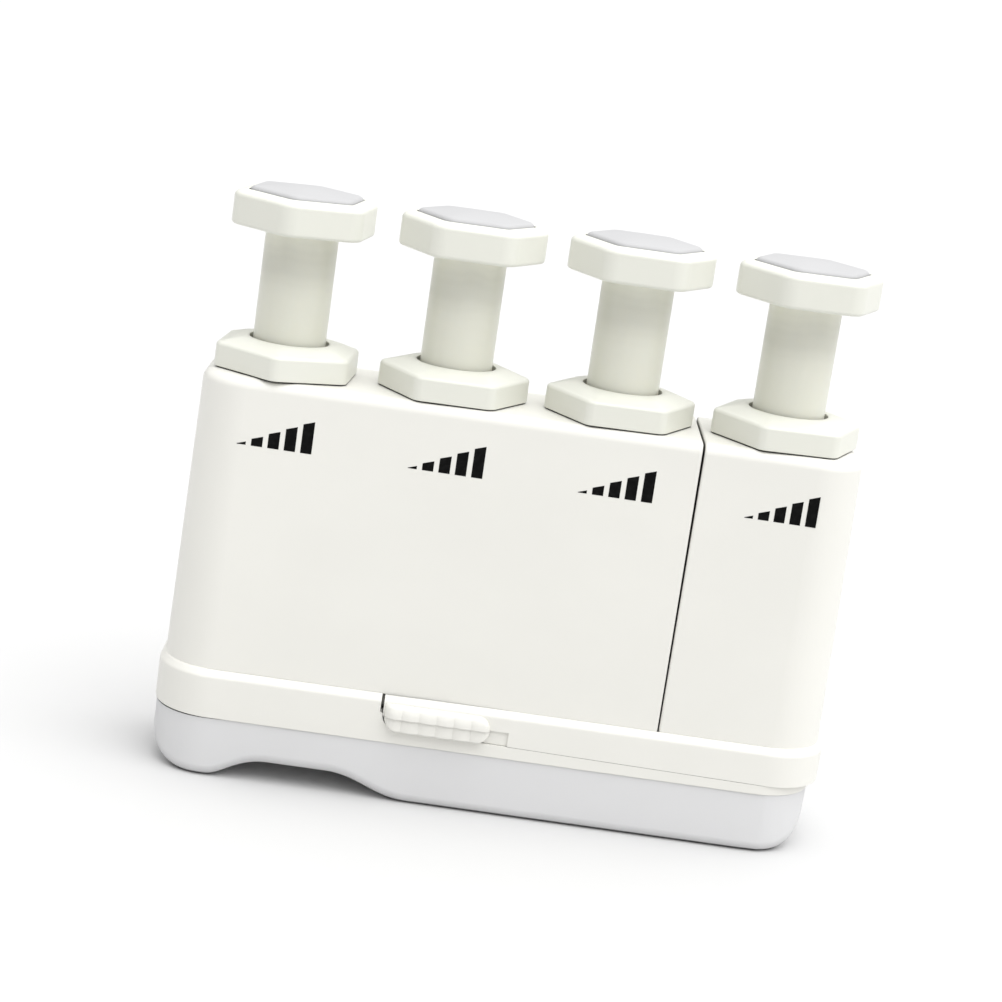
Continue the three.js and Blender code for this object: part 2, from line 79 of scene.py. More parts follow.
palm_low, palm_high = levels("palm_rest")
base_low, base_high = levels("base_frame")
tray_low, tray_high = levels("extension_tray")
main_low, main_high = levels("main_housing")
end_low, _ = levels("end_housing")
knob_low, knob_high = levels("lock_knob")
cap_low, cap_high = levels("finger_cap_1")
pad_low, pad_high = levels("finger_pad_1")
stem_low, stem_high = levels("finger_stem_1")
dial_low, dial_high = levels("tension_dial_1")
spring_low, spring_high = levels("finger_spring_1")

# The white band round the foot: the base's fixed part and the sliding tray.
BAND_TOP = 14.55
BAND_FOOT = base_low[2] - 0.2           # where the white band meets the grey grip
BAND_HALF = tray_high[1]
BAND_CORNER = 8.0
BEVEL_FOOT = 13.7                       # the bevel under the lip starts here
LIP = 0.65                              # how far the bevel draws in
FOOT_ROUND = 0.12
FLOOR_TOP = 10.0                        # top of the base's floor
SHOULDER = 13.6                         # the housings stand in a recess this high up
JOINT_GAP = 0.4                         # the dark joint between the fixed band and the tray
JOINT_CRACK = 0.05
JOINT_CORNER = 2.0
TRAY_FOOT = tray_low[2] - 0.2           # the tray's lower edge at the joint, which sinks to the right
TRAY_FALL = 0.0125
RAIL_INSIDE = 9.3
TONGUE_FOOT, TONGUE_TOP = 11.1, 12.3    # the tray's tongues, which run in the skirt's grooves
SKIRT_HALF = 9.0
SKIRT_LEFT = -16.0
SKIRT_WALL = 2.6
POST_HALF = 1.5                         # the square posts that keep the spring seats from turning

HOUSING_END = 43.9
HOUSING_HALF = 10.35
HOUSING_CORNER = 7.1
HOUSING_FOOT = 13.9
DRAFT = math.tan(math.radians(1))
TOP_EDGE = 1.45                         # rounding of the top edge, seen from the end
END_EDGE = 2.0                          # and seen from the front
SEAM_EDGE = 0.3
SEAM_LEAN = 0.12                        # the seam is narrower at the foot than at the top
WALL = 1.6
TOP_PLATE = 2.2
SLEEVE_HOLE = 7.4

CAP_SIDE = 9.95
CAP_VERTEX = 2.7
CAP_TURN = {1: 21.4, 2: 1.9, 3: 1.1, 4: 7.3}     # in degrees
CAP_LIP = 1.7
PAD_SIDE = 7.85
PAD_VERTEX = 1.9
DIAL_SIDE = 10.1
DIAL_VERTEX = 1.6
DIAL_TURN = {1: 25.6, 2: 2.8, 3: 3.9, 4: 7.0}    # in degrees
COLLAR_FOOT = 53.44
SLEEVE_R = 7.1
STEM_R = 4.75
SEAT_TRAVEL = 8.95
PRESS_TRAVEL = 14.0

COS30 = math.cos(math.radians(30))
CORNER_STEPS = 14
ROUND_STEPS = 72
FAR = 80.0                              # beyond the object, for cutters

# ---------------------------------------------------------------- materials


def material(name, colour, roughness, **sockets):
    """A Principled material. Returns it with its node tree's shader."""
    look = bpy.data.materials.new(name)
    look.use_nodes = True
    shader = look.node_tree.nodes["Principled BSDF"]
    shader.inputs["Base Color"].default_value = (*colour, 1)
    shader.inputs["Roughness"].default_value = roughness
    for socket, value in sockets.items():
        shader.inputs[socket.replace("_", " ")].default_value = value
    return look, shader


def noise(look, feature, detail=3.0, stretch=(1, 1, 1), rough=0.5):
    """Noise with features of the given size in millimetres, fixed to the piece."""
    nodes, links = look.node_tree.nodes, look.node_tree.links
    place = nodes.new("ShaderNodeTexCoord")
    fit = nodes.new("ShaderNodeMapping")
    fit.inputs["Scale"].default_value = [1 / (feature * MM * s) for s in stretch]
    pattern = nodes.new("ShaderNodeTexNoise")
    pattern.inputs["Scale"].default_value = 1
    pattern.inputs["Detail"].default_value = detail
    pattern.inputs["Roughness"].default_value = rough
    links.new(place.outputs["Object"], fit.inputs["Vector"])
    links.new(fit.outputs["Vector"], pattern.inputs["Vector"])
    return pattern.outputs["Fac"]


def ramp(look, value, stops):
    """Maps a value to colours, given as (position, colour) stops."""
    node = look.node_tree.nodes.new("ShaderNodeValToRGB")
    look.node_tree.links.new(value, node.inputs["Fac"])
    band = node.color_ramp
    band.interpolation = "EASE"
    while len(band.elements) < len(stops):
        band.elements.new(1)
    for element, (position, colour) in zip(band.elements, stops):
        element.position = position
        element.color = (*colour, 1)
    return node.outputs["Color"]


def spread(look, value, low, high):
    """Maps a noise value to a range, smoothly at both ends."""
    node = look.node_tree.nodes.new("ShaderNodeMapRange")
    node.interpolation_type = "SMOOTHSTEP"
    node.inputs["From Min"].default_value = NOISE_LOW
    node.inputs["From Max"].default_value = NOISE_HIGH
    node.inputs["To Min"].default_value = low
    node.inputs["To Max"].default_value = high
    look.node_tree.links.new(value, node.inputs["Value"])
    return node.outputs["Result"]


def bump(look, shader, height, depth, strength=1.0, under=None):
    """Raises the surface by depth, in millimetres, and returns the normal."""
    node = look.node_tree.nodes.new("ShaderNodeBump")
    node.inputs["Strength"].default_value = strength
    node.inputs["Distance"].default_value = depth * MM
    look.node_tree.links.new(height, node.inputs["Height"])
    if under is not None:
        look.node_tree.links.new(under, node.inputs["Normal"])
    look.node_tree.links.new(node.outputs["Normal"], shader.inputs["Normal"])
    return node.outputs["Normal"]


def painted_crevice_shade(look, colour, shader):
    """Painted shade: darkens the colour where the surface lies deep in a narrow gap, where little light
    comes back.
    """
    reach, deep, clear, dark = 0.9, 0.08, 0.4, 0.06
    nodes, links = look.node_tree.nodes, look.node_tree.links
    hidden = nodes.new("ShaderNodeAmbientOcclusion")
    hidden.samples = 8
    hidden.inputs["Distance"].default_value = reach * MM
    depth = nodes.new("ShaderNodeMapRange")
    depth.interpolation_type = "SMOOTHSTEP"
    depth.inputs["From Min"].default_value = deep
    depth.inputs["From Max"].default_value = clear
    depth.inputs["To Min"].default_value = dark
    links.new(hidden.outputs["AO"], depth.inputs["Value"])
    # painted shade: the occlusion value scales the base colour down
    shade = nodes.new("ShaderNodeMix")
    shade.data_type = "RGBA"
    shade.blend_type = "MULTIPLY"
    shade.inputs["Factor"].default_value = 1
    links.new(colour, shade.inputs["A"])
    links.new(depth.outputs["Result"], shade.inputs["B"])
    links.new(shade.outputs["Result"], shader.inputs["Base Color"])


def tinted(colour, factor):
    return tuple(c * factor for c in colour)


def moulded(name, colour, roughness, grain, depth, mottle=0.02, **sockets):
    """Moulded plastic: a fine spark-eroded grain, faint flow marks, uneven gloss and painted shade in
    narrow gaps. Grain and depth are in millimetres."""
    flow_size, patch_size, sink_size, gloss = 14, 9, 11, 0.05
    look, shader = material(name, colour, roughness, **sockets)
    links = look.node_tree.links
    flow = noise(look, flow_size, detail=2, stretch=(1.6, 1, 1))
    # the flow marks' colour gets painted shade in narrow gaps
    painted_crevice_shade(look, ramp(look, flow, [
        (0.3, tinted(colour, 1 - mottle)), (0.7, colour),
    ]), shader)
    patches = noise(look, patch_size, detail=1)
    links.new(spread(look, patches, roughness - gloss, roughness + gloss), shader.inputs["Roughness"])
    sink = bump(look, shader, noise(look, sink_size, detail=1), 0.02, strength=0.25)
    bump(look, shader, noise(look, grain, detail=2, rough=0.6), depth, strength=0.35, under=sink)
    return look


WARM_WHITE = (0.752, 0.744, 0.7)
CREAM = (0.705, 0.708, 0.642)
LIGHT_GREY = (0.655, 0.655, 0.66)
PAD_GREY = (0.435, 0.435, 0.441)
MILK = (0.655, 0.655, 0.575)
NATURAL = (0.74, 0.73, 0.68)
NEAR_BLACK = (0.035, 0.035, 0.037)
STEEL_TONE = (0.56, 0.565, 0.58)
INK_TONE = (0.004, 0.004, 0.004)

SHELL = moulded("shell_white", WARM_WHITE, 0.42, 0.35, 0.012, Specular_IOR_Level=0.45)
CAPS = moulded("cap_white", CREAM, 0.36, 0.5, 0.012, Specular_IOR_Level=0.5)
GRIP = moulded("grip_grey", LIGHT_GREY, 0.62, 0.3, 0.02, mottle=0.03, Specular_IOR_Level=0.35)
PADS = moulded("pad_grey", PAD_GREY, 0.55, 0.25, 0.015, mottle=0.04, Specular_IOR_Level=0.4)
ACETAL = moulded("acetal_natural", NATURAL, 0.38, 0.6, 0.008)
RUBBER = moulded("rubber_dark", NEAR_BLACK, 0.8, 0.3, 0.03, mottle=0.3)


def stem_material():
    """Milky plastic: light gets a little way in. The wall is darker in a belt above the middle, and has
    painted light just under the cap, where it is brighter. The tones are (height, factor) pairs."""
    tones = (
        (0.1, 1.03), (0.42, 1.0), (0.5, 0.98), (0.57, 0.94), (0.65, 0.89),
        (0.74, 0.92), (0.81, 0.99), (0.89, 1.1), (0.95, 1.2),
    )
    top_of_scale, unevenness = 0.9, 0.14
    look, shader = material(
        "stem_milky", MILK, 0.34,
        Subsurface_Weight=0.3, Subsurface_Scale=0.002, Subsurface_Radius=(1.0, 0.9, 0.75),
        Specular_IOR_Level=0.5,
    )
    nodes, links = look.node_tree.nodes, look.node_tree.links
    place = nodes.new("ShaderNodeTexCoord")
    split = nodes.new("ShaderNodeSeparateXYZ")
    links.new(place.outputs["Object"], split.inputs["Vector"])
    height = nodes.new("ShaderNodeMapRange")
    height.inputs["From Min"].default_value = dial_high[2] * MM
    height.inputs["From Max"].default_value = cap_low[2] * MM
    height.inputs["To Max"].default_value = top_of_scale
    links.new(split.outputs["Z"], height.inputs["Value"])
    uneven_height = nodes.new("ShaderNodeMath")
    uneven_height.operation = "MULTIPLY_ADD"
    links.new(noise(look, 4, detail=2, stretch=(1, 1, 2.4)), uneven_height.inputs[0])
    uneven_height.inputs[1].default_value = unevenness
    links.new(height.outputs["Result"], uneven_height.inputs[2])
    # painted light: the tones brighten the colour towards the cap
    links.new(ramp(look, uneven_height.outputs["Value"], [
        (level, tinted(MILK, factor)) for level, factor in tones
    ]), shader.inputs["Base Color"])
    links.new(spread(look, noise(look, 3, detail=4), 0.3, 0.4), shader.inputs["Roughness"])
    bump(look, shader, noise(look, 0.8, detail=2, stretch=(1, 1, 6)), 0.008, strength=0.3)
    return look


def steel_material():
    """Drawn spring steel: unevenly polished, with fine upright draw marks."""
    look, shader = material("steel_drawn", STEEL_TONE, 0.3, Metallic=1.0)
    links = look.node_tree.links
    links.new(spread(look, noise(look, 0.9, detail=5), 0.3, 0.46), shader.inputs["Roughness"])
    links.new(ramp(look, noise(look, 2.5), [
        (0.3, (0.47, 0.475, 0.49)), (0.7, (0.6, 0.605, 0.62)),
    ]), shader.inputs["Base Color"])
    bump(look, shader, noise(look, 0.2, detail=3, stretch=(1, 1, 4)), 0.006, strength=0.4)
    return look


def ink_material():
    """Printed black: matt and slightly uneven."""
    look, shader = material("ink_black", INK_TONE, 0.6, Specular_IOR_Level=0.06)
    links = look.node_tree.links
    links.new(ramp(look, noise(look, 0.6, detail=4), [
        (0.35, (0.003, 0.003, 0.003)), (0.75, (0.007, 0.007, 0.007)),
    ]), shader.inputs["Base Color"])
    links.new(spread(look, noise(look, 0.4, detail=3), 0.5, 0.7), shader.inputs["Roughness"])
    bump(look, shader, noise(look, 0.35, detail=2), 0.01, strength=0.3)
    return look


STEM = stem_material()
STEEL = steel_material()
INK = ink_material()

# ---------------------------------------------------------------- solids


def loft(rings, closed=False):
    """Points and faces of a skin through rings of equally many points. A closed one joins its last
    ring to its first, and an open one is capped at both ends."""
    count = len(rings[0])
    points = [point for ring in rings for point in ring]
    faces = []
    for k in range(len(rings) if closed else len(rings) - 1):
        here, there = k * count, (k + 1) % len(rings) * count
        for i in range(count):
            j = (i + 1) % count
            faces.append((here + i, here + j, there + j, there + i))
    if not closed:
        faces.append(tuple(reversed(range(count))))
        faces.append(tuple(range(len(points) - count, len(points))))
    return points, faces


def plan_ring(left, right, half, left_corner, right_corner, z):
    """A rectangle with rounded corners, seen from above."""
    corners = (
        (right, -half, right_corner, -1, 1), (right, half, right_corner, -1, -1),
        (left, half, left_corner, 1, -1), (left, -half, left_corner, 1, 1),
    )
    ring = []
    for quarter, (x, y, corner, in_x, in_y) in enumerate(corners):
        for k in range(CORNER_STEPS + 1):
            angle = (quarter - 1 + k / CORNER_STEPS) * math.pi / 2
            ring.append((
                x + in_x * corner + corner * math.cos(angle),
                y + in_y * corner + corner * math.sin(angle),
                z,
            ))
    return ring


def hex_ring(side, vertex, inset, z, turn):
    """A hexagon of the given side with vertices rounded by a radius, drawn in by inset and turned by
    degrees. Its flats are divided too."""
    arc, flat, least_vertex = 6, 6, 0.5
    radius = side - inset / COS30
    vertex = max(vertex - inset, least_vertex)
    centre = radius - vertex / COS30
    ring = []
    for corner in range(6):
        out = math.radians(60 * corner + turn)
        after = out + math.pi / 3
        for k in range(arc + 1):
            angle = out + (k / arc - 0.5) * math.pi / 3
            ring.append((
                centre * math.cos(out) + vertex * math.cos(angle),
                centre * math.sin(out) + vertex * math.sin(angle),
                z,
            ))
        facing = out + math.pi / 6
        start = ring[-1]
        end = (
            centre * math.cos(after) + vertex * math.cos(facing),
            centre * math.sin(after) + vertex * math.sin(facing),
        )
        for k in range(1, flat):
            share = k / flat
            ring.append((
                start[0] + (end[0] - start[0]) * share, start[1] + (end[1] - start[1]) * share, z,
            ))
    return ring


def round_like(ring, radius, z):
    """A circle whose points lie in the same directions as a ring's."""
    return [(radius * x / math.hypot(x, y), radius * y / math.hypot(x, y), z) for x, y, _ in ring]


def circle(radius, z, steps):
    angles = [2 * math.pi * k / steps for k in range(steps)]
    return [(radius * math.cos(a), radius * math.sin(a), z) for a in angles]


def turned(profile, steps=ROUND_STEPS):
    """A solid of revolution round Z, from (radius, z) pairs."""
    return loft([circle(radius, z, steps) for radius, z in profile])


def block(x0, x1, y0, y1, z0, z1):
    return loft([[(x0, y0, z), (x1, y0, z), (x1, y1, z), (x0, y1, z)] for z in (z0, z1)])


def prism(outline, y0, y1):
    """A side view in X and Z carried through from y0 to y1."""
    return loft([[(x, y, z) for x, z in outline] for y in (y0, y1)])


def moved(shape, shift):
    """A shape moved along the row."""
    points, faces = shape
    return [(x + shift, y, z) for x, y, z in points], faces


def fillet(radius_in, radius_up, steps, out=True):
    """A quarter round as (inset, rise) pairs: where a side turns in to the top or, with out false,
    where a foot turns out to the side."""
    pairs = []
    for k in range(steps + 1):
        angle = k / steps * math.pi / 2
        if out:
            pairs.append((radius_in * (1 - math.cos(angle)), radius_up * math.sin(angle)))
        else:
            pairs.append((radius_in * (1 - math.sin(angle)), radius_up * (1 - math.cos(angle))))
    return pairs


# ---------------------------------------------------------------- objects


def put(name, shape, look):
    """Makes an object of points and faces given in millimetres."""
    points, faces = shape
    mesh = bpy.data.meshes.new(name)
    mesh.from_pydata([[c * MM for c in point] for point in points], [], faces)
    skin = bmesh.new()
    skin.from_mesh(mesh)
    bmesh.ops.recalc_face_normals(skin, faces=skin.faces)
    skin.to_mesh(mesh)
    skin.free()
    mesh.materials.append(look)
    obj = bpy.data.objects.new(name, mesh)
    bpy.context.scene.collection.objects.link(obj)
    return obj


def change(obj, shape, how):
    """Cuts a solid from an object, or adds one to it."""
    other = put("operand", shape, obj.data.materials[0])
    step = obj.modifiers.new("solid", "BOOLEAN")
    step.object = other
    step.operation = how
    step.solver = "MANIFOLD"
    graph = bpy.context.evaluated_depsgraph_get()
    result = bpy.data.meshes.new_from_object(obj.evaluated_get(graph))
    result.name = obj.name
    obj.modifiers.clear()
    old = obj.data
    obj.data = result
    bpy.data.meshes.remove(old)
    bpy.data.objects.remove(other)


def cut(obj, shape):
    change(obj, shape, "DIFFERENCE")


def add(obj, shape):
    change(obj, shape, "UNION")


def finish(obj, body, slot, *nodes, angle=32.0):
    """Shades a piece, makes it ride on its body and hides the CAD nodes it stands for. Edges sharper
    than angle, in degrees, stay crisp."""
    obj.data.shade_smooth()
    obj.data.set_sharp_from_angle(angle=math.radians(angle))
    even = obj.modifiers.new("normals", "WEIGHTED_NORMAL")
    even.keep_sharp = True
    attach(obj, body)
    if nodes:
        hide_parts(*nodes)


# ---------------------------------------------------------------- palm rest


def bezier(start, first, second, end, steps):
    """Points of a cubic curve after its start."""
    points = []
    for k in range(1, steps + 1):
        t = k / steps
        a, b, c, d = (1 - t) ** 3, 3 * t * (1 - t) ** 2, 3 * t * t * (1 - t), t ** 3
        points.append(tuple(
            a * p + b * q + c * r + d * s for p, q, r, s in zip(start, first, second, end)
        ))
    return points


def palm_outline():
    """The underside from left to right: a rounded foot, a shallow arch and a long flat belly. Each
    curve is given by its two handles, its end and its number of steps."""
    left, right = palm_low[0], palm_high[0]
    side, arch = 4.2, 2.7
    line = [(left, side)]
    for curve in (
        ((left + 0.15, 2.4), (-42.9, 0.5), (-39.6, 0.1), 16),
        ((-39.0, 0.0), (-38.6, 0.0), (-38.0, 0.0), 3),
        ((-37.4, 0.0), (-36.8, 0.0), (-36.2, 0.05), 3),
        ((-34.2, 0.25), (-32.2, arch), (-28.4, arch), 14),
        ((-26.0, arch), (-23.0, arch), (-20.6, arch), 4),
        ((-16.4, arch), (-14.0, 0.15), (-9.8, 0.0), 14),
        ((5.0, 0.0), (22.0, 0.0), (37.0, 0.0), 16),
        ((40.6, 0.0), (right - 0.5, 1.4), (right - 0.25, side), 16),
    ):
        line += bezier(line[-1], *curve)
    return line


def palm_rest():
    """The grip, as rings across it from left to right. Its joint with the band stands slightly open
    at the left end."""
    left, right, half, top = palm_low[0], palm_high[0], palm_high[1], BAND_FOOT - 0.02
    corner, edge = 7.8, 1.5
    edge_steps = 8
    opening, closes = 0.26, 11.0

    def half_at(x):
        """Half the grip's width, less in the corners."""
        past = max(left + corner - x, x - (right - corner), 0.0)
        return half - corner + math.sqrt(max(corner ** 2 - past ** 2, 0.0))

    rings = []
    for x, foot in palm_outline():
        wide = half_at(x)
        crown = top - opening * max(1 - (x - left) / closes, 0.0)
        radius = min(edge, (crown - foot) / 2, wide / 2)
        side = [
            (wide - inset, foot + rise)
            for inset, rise in fillet(radius, radius, edge_steps, out=False)
        ]
        side += [(wide, foot + radius + (crown - foot - radius) * share) for share in (0.5, 1.0)]
        ring = [(x, -y, z) for y, z in reversed(side)] + [(x, y, z) for y, z in side]
        rings.append(ring)
    rest = put("palm_grip", loft(rings), GRIP)
    finish(rest, "base", "grey_soft", "palm_rest", angle=50)


# ---------------------------------------------------------------- base, tray and lock


def band_form(left, right):
    """The outside of the band round the foot, with a bevelled lip above it."""
    ease_in, ease_rise, ease = 0.04, 0.25, 0.12
    crest, lip_in, lip_drop = 0.3, 0.04, 0.1
    profile = [
        (inset, BAND_FOOT + rise) for inset, rise in fillet(FOOT_ROUND, FOOT_ROUND, 3, out=False)
    ]
    profile += [
        (0.0, BEVEL_FOOT - ease_rise),
        (ease_in, BEVEL_FOOT),
        (ease, BEVEL_FOOT + ease),
        (LIP - crest * 0.5, BAND_TOP - crest * 0.55),
        (LIP - lip_in, BAND_TOP - lip_drop),
        (LIP + lip_drop, BAND_TOP),
    ]
    return loft([
        plan_ring(
            left + inset, right - inset, BAND_HALF - inset, BAND_CORNER - inset, BAND_CORNER - inset, z,
        ) for inset, z in profile
    ])


def tray_side(gap, crack):
    """Side view of everything right of the joint and above the strip. The joint is as wide as gap
    above, and narrows to a crack round the corner and along the strip."""
    left, foot = tray_low[0], TRAY_FOOT
    steps, narrows = 12, 12.3
    outline = [(left - gap, FAR), (left - gap, narrows)]
    corner = JOINT_CORNER + crack
    for k in range(steps + 1):
        angle = math.pi + k / steps * math.pi / 2
        outline.append((
            left - crack + corner + corner * math.cos(angle),
            foot - crack + corner + corner * math.sin(angle),
        ))
    return outline + [(FAR, foot - crack - TRAY_FALL * (FAR - left)), (FAR, FAR)]


def inner_form(left, right, half, corner, z0, z1):
    """An upright block with rounded corners, mostly for hollows."""
    return loft([plan_ring(left, right, half, corner, corner, z) for z in (z0, z1)])


def recess(left, right, pull, z0):
    """The room inside the band above z0, drawn in from its outside by pull."""
    return inner_form(left + pull, right - pull, BAND_HALF - pull, BAND_CORNER - pull, z0, FAR)


def post(finger, foot, top):
    x = finger_x(finger)
    return block(x - POST_HALF, x + POST_HALF, -POST_HALF, POST_HALF, foot, top)


def base_chassis():
    left, right = base_low[0], base_high[0]
    seat_play, overlap = 0.04, 0.5
    chassis = put("base_chassis", band_form(left, right), SHELL)
    cut(chassis, recess(left, right, BAND_HALF - RAIL_INSIDE, FLOOR_TOP))
    cut(chassis, recess(left, right, BAND_HALF - HOUSING_HALF - seat_play, SHOULDER))
    cut(chassis, prism(tray_side(JOINT_GAP, JOINT_CRACK), -FAR, FAR))
    for finger in FINGERS[:3]:
        add(chassis, post(finger, FLOOR_TOP - overlap, base_high[2]))
    finish(chassis, "base", "white_shell", "base_frame")


def sliding_tray():
    """Two rails and a floor under finger 4. The front rail is a little thinner towards the joint, and
    the knob slides in a shallow notch in it."""
    left, right = tray_low[0], tray_high[0]
    seam = end_low[0]
    plate_top, overlap, seat_play = 12.6, 0.5, 0.03
    thin_end, thin_foot, thinner = 3.0, 12.4, 0.3
    notch_left, notch_right, notch_depth, notch_top = 1.0, 2.5, 0.3, 11.8
    tongue_in, tongue_out, tongue_end, past_notch = 1.1, 0.5, 8.0, 3.4
    tray = put("sliding_tray", band_form(-right, right), SHELL)
    pull = BAND_HALF - RAIL_INSIDE
    cut(tray, inner_form(-right + pull, seam, RAIL_INSIDE, BAND_CORNER - pull, 0, plate_top + 0.01))
    cut(tray, recess(-right, right, pull, plate_top))
    cut(tray, recess(-right, right, BAND_HALF - HOUSING_HALF - seat_play, SHOULDER))
    wedge = [
        (left - 1, -HOUSING_HALF - thinner), (thin_end, -HOUSING_HALF - seat_play),
        (thin_end, 0.0), (left - 1, 0.0),
    ]
    cut(tray, loft([[(x, y, z) for x, y in wedge] for z in (thin_foot, FAR)]))
    change(tray, prism(tray_side(0.0, 0.0), -FAR, FAR), "INTERSECT")
    cut(tray, block(
        knob_low[0] - notch_left, knob_high[0] + notch_right,
        -BAND_HALF - 1, -BAND_HALF + notch_depth, BAND_FOOT, notch_top,
    ))
    add(tray, post(4, plate_top - overlap, tray_high[2]))
    for side in (-1, 1):
        inner, outer = sorted((side * (RAIL_INSIDE - tongue_in), side * (RAIL_INSIDE + tongue_out)))
        start = knob_high[0] + past_notch if side < 0 else left + 1
        add(tray, block(start, tongue_end, inner, outer, TONGUE_FOOT, TONGUE_TOP))
    finish(tray, "extension", "white_shell", "extension_tray")


def lock_slider():
    """Thumb piece: six upright rounded ribs, cut off above by a slope that keeps a trace of them, with
    a low step along the foot. The right end is a half circle, and the left one bows back."""
    left, right = knob_low[0], knob_high[0]
    foot, top = TRAY_FOOT - 0.05, knob_high[2]
    back, front = -BAND_HALF + 0.05, knob_low[1] + 0.3
    thinnest = 0.02
    ribs, valley, trace, rib_power, rib_start = 6, 0.2, 0.35, 0.7, 0.1
    pitch = (right - left) / (ribs + 0.15)
    crease, slope, crest, sharp = 12.6, 0.5, 0.04, 9.0
    step, step_back, step_soft = 11.9, 0.3, 0.08
    line, line_half = 0.03, 0.1
    foot_corner, end_round, end_share = 1.9, (top - foot) / 2, 0.96
    right_round, right_sink = 0.6, 0.45
    left_round, left_sink = 2.0, 1.2
    edge_round, edge_sink, upper_edge = 0.25, 0.22, 0.6
    steps_x, steps_z, even = 168, 60, 0.8
    rings = []
    for k in range(steps_x + 1):
        share = k / steps_x
        x = left + (right - left) * (
            even * share + (1 - even) * (0.5 - 0.5 * math.cos(math.pi * share))
        )
        low, high = foot, top
        to_left, to_right = x - left, right - x
        if to_left < foot_corner:
            low = foot + foot_corner - math.sqrt(foot_corner ** 2 - (foot_corner - to_left) ** 2)
        if to_right < end_round:
            reach = math.sqrt(max(end_round ** 2 - (end_round - to_right) ** 2, 0.0))
            drop = (end_round - reach) * end_share
            low, high = max(low, foot + drop), top - drop
        rib = abs(math.sin(math.pi * (to_left - rib_start) / pitch)) ** rib_power
        end_pull = right_sink * (1 - min(to_right / right_round, 1.0)) ** 2
        bow = 1 - min(to_left / left_round, 1.0)
        end_pull += left_sink * (1 - math.sqrt(1 - bow * bow))
        ring = [(x, back, high), (x, back, low)]
        for i in range(steps_z + 1):
            z = low + (high - low) * i / steps_z
            below = min(max((step - z) / step_soft, 0.0), 1.0)
            groove = max(1 - abs(z - step + line_half) / line_half, 0.0)
            wall = crest + valley * (1 - rib) + step_back * below + line * groove
            cut_back = slope * (z - crease) + valley * trace * (1 - rib)
            blend = math.log(math.exp(sharp * wall) + math.exp(sharp * cut_back)) / sharp
            edge = min(z - low, (high - z) * upper_edge)
            sink = edge_sink * (1 - min(edge / edge_round, 1.0)) ** 2 + end_pull
            ring.append((x, min(front - crest + blend + sink, back - thinnest), z))
        rings.append(ring)
    knob = put("lock_slider", loft(rings), SHELL)
    finish(knob, "lock", "white_shell", "lock_knob", angle=60)


# ---------------------------------------------------------------- housings


def housing_form(left, right, seam):
    """Drafted walls and a rounded top edge. The seam end stays upright, with a small soft edge."""
    foot, top = HOUSING_FOOT, main_high[2]
    steps = 10
    profile = [(0.0, 0.0, foot)]
    for k in range(steps + 1):
        angle = k / steps * math.pi / 2
        z = top - TOP_EDGE + TOP_EDGE * math.sin(angle)
        profile.append((TOP_EDGE * (1 - math.cos(angle)), END_EDGE * (1 - math.cos(angle)), z))
    rings = []
    for side_pull, end_pull, z in profile:
        draft = (z - BAND_TOP) * DRAFT
        soft = max(SEAM_EDGE - (top - z), 0.0)
        seam_pull = SEAM_EDGE - math.sqrt(SEAM_EDGE ** 2 - soft ** 2)
        lean = SEAM_LEAN * (top - z) / (top - foot)
        ends = {"left": left + draft + end_pull, "right": right - draft - end_pull}
        ends[seam] = left + seam_pull - lean if seam == "left" else right - seam_pull
        corners = {end: HOUSING_CORNER - draft - side_pull for end in ends}
        corners[seam] = SEAM_EDGE
        half = HOUSING_HALF - draft - side_pull
        rings.append(plan_ring(ends["left"], ends["right"], half, corners["left"], corners["right"], z))
    return loft(rings)


def housing_shell(name, left, right, seam, fingers):
    """A housing with its hollow, and a hole in its top for each finger's sleeve."""
    thicker, hollow_corner, hole_steps = 0.7, 1.0, 48
    shell = put(name, housing_form(left, right, seam), SHELL)
    inner_left = left + WALL + (0 if seam == "left" else thicker)
    inner_right = right - WALL - (0 if seam == "right" else thicker)
    half = HOUSING_HALF - WALL - thicker
    ceiling = main_high[2] - TOP_PLATE
    cut(shell, inner_form(inner_left, inner_right, half, hollow_corner, 0.0, ceiling))
    for finger in fingers:
        hole = turned([(SLEEVE_HOLE, ceiling - 1), (SLEEVE_HOLE, FAR)], hole_steps)
        cut(shell, moved(hole, finger_x(finger)))
    return shell


def skirt_form(top):
    """The shape of the skirt that runs between the tray's rails, with a groove for each tongue."""
    groove_in, groove_end, groove_foot, groove_top = 1.4, 20.3, 10.8, 12.6
    right = main_high[0]
    skirt = put("skirt", block(SKIRT_LEFT, right, -SKIRT_HALF, SKIRT_HALF, main_low[2], top), SHELL)
    inside = SKIRT_HALF - SKIRT_WALL
    cut(skirt, block(SKIRT_LEFT - 1, right - WALL, -inside, inside, 0, top + 1))
    for side in (-1, 1):
        inner, outer = sorted((side * (SKIRT_HALF - groove_in), side * (SKIRT_HALF + 1)))
        cut(skirt, block(SKIRT_LEFT - 1, groove_end, inner, outer, groove_foot, groove_top))
    mesh = skirt.data
    points = [tuple(c / MM for c in vertex.co) for vertex in mesh.vertices]
    faces = [tuple(polygon.vertices) for polygon in mesh.polygons]
    bpy.data.objects.remove(skirt)
    return points, faces


def main_housing():
    """The shell of fingers 1 to 3, with a notch in its foot behind the tray's joint, a partition on
    each side of finger 2, and the skirt."""
    partitions, partition_half, partition_foot, lap = (-22.0, 0.0), 0.7, 24, 2
    right, joint = main_high[0], tray_low[0]
    shell = housing_shell("main_housing_shell", -HOUSING_END, right, "right", FINGERS[:3])
    cut(shell, block(joint - JOINT_GAP, joint, -FAR, FAR, 0.0, BAND_TOP - 0.03))
    half = HOUSING_HALF - WALL - 0.2
    for x in partitions:
        add(shell, block(
            x - partition_half, x + partition_half, -half, half, partition_foot, main_high[2] - 1,
        ))
    add(shell, skirt_form(HOUSING_FOOT + lap))
    finish(shell, "base", "white_shell", "main_housing")


def end_housing():
    shell = housing_shell("end_housing_shell", end_low[0], HOUSING_END, "left", FINGERS[3:])
    finish(shell, "extension", "white_shell", "end_housing")


# ---------------------------------------------------------------- level marks


